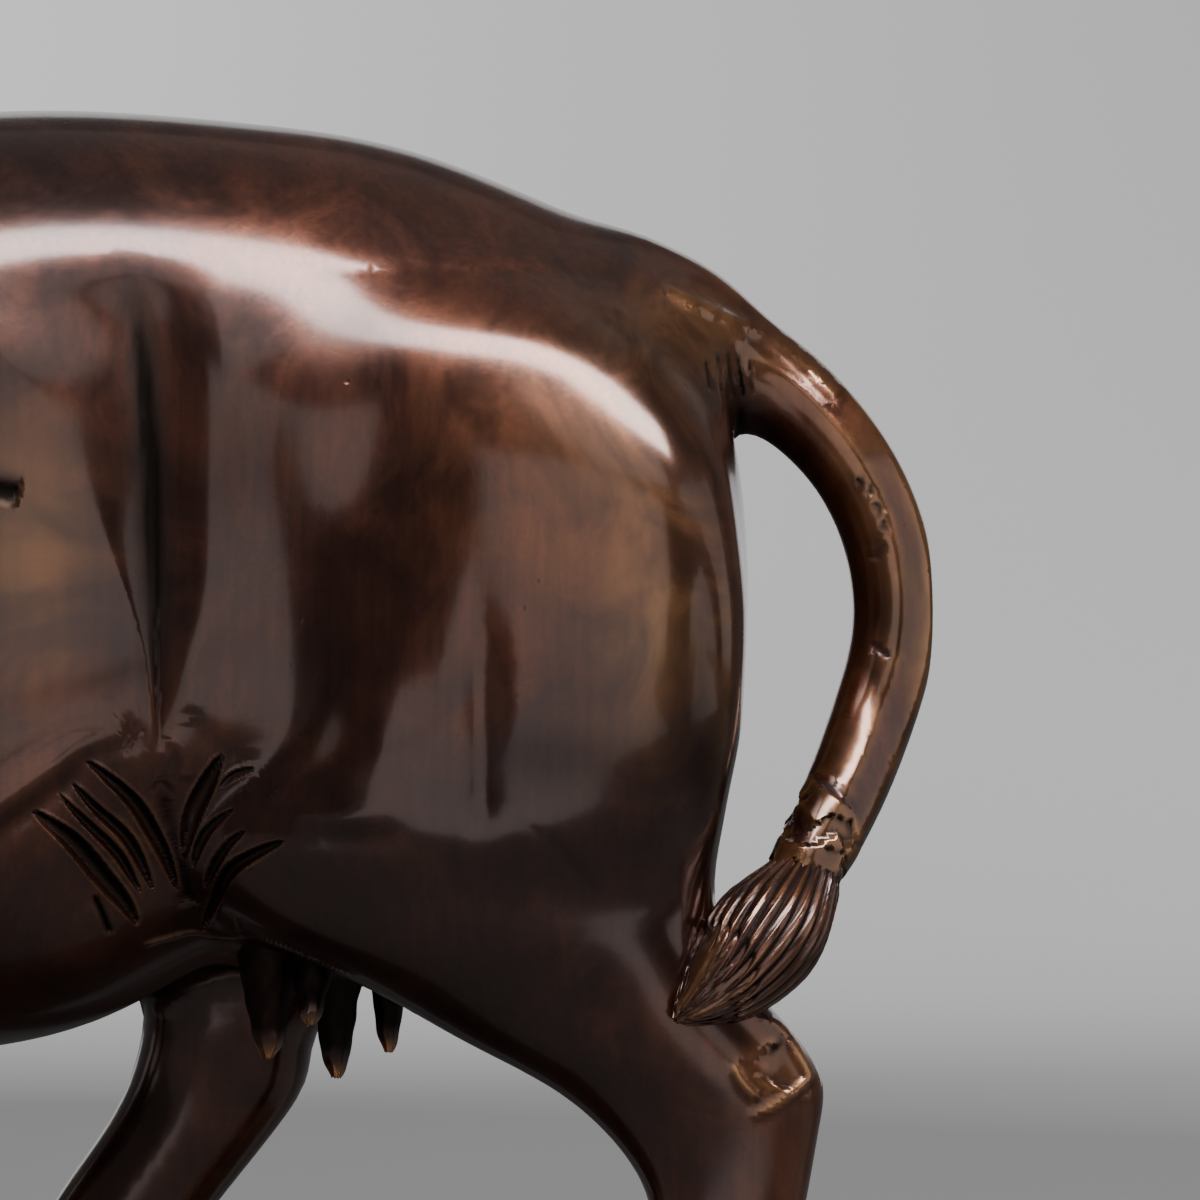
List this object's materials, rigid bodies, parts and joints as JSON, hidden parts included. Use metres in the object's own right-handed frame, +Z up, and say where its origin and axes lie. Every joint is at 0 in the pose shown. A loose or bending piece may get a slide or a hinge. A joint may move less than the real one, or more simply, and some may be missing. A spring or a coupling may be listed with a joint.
{
  "type": "statue of a standing water buffalo cow",
  "caption": "Cast brass statue of a walking water buffalo cow with a dark brown patina, on a low plinth.",
  "frame": {"origin": "middle of the footprint, on the underside of the plinth", "axes": "+X from the head to the tail, along the animal; +Y towards its right side; +Z up"},
  "size_m": [0.712, 0.205, 0.45],
  "materials": {
    "buffalo": "polished dark brown patina under clear lacquer",
    "plinth": "satin dark brown patina"
  },
  "bodies": {
    "root": {"buffalo": "buffalo", "plinth": "plinth"}
  },
  "joints": []
}
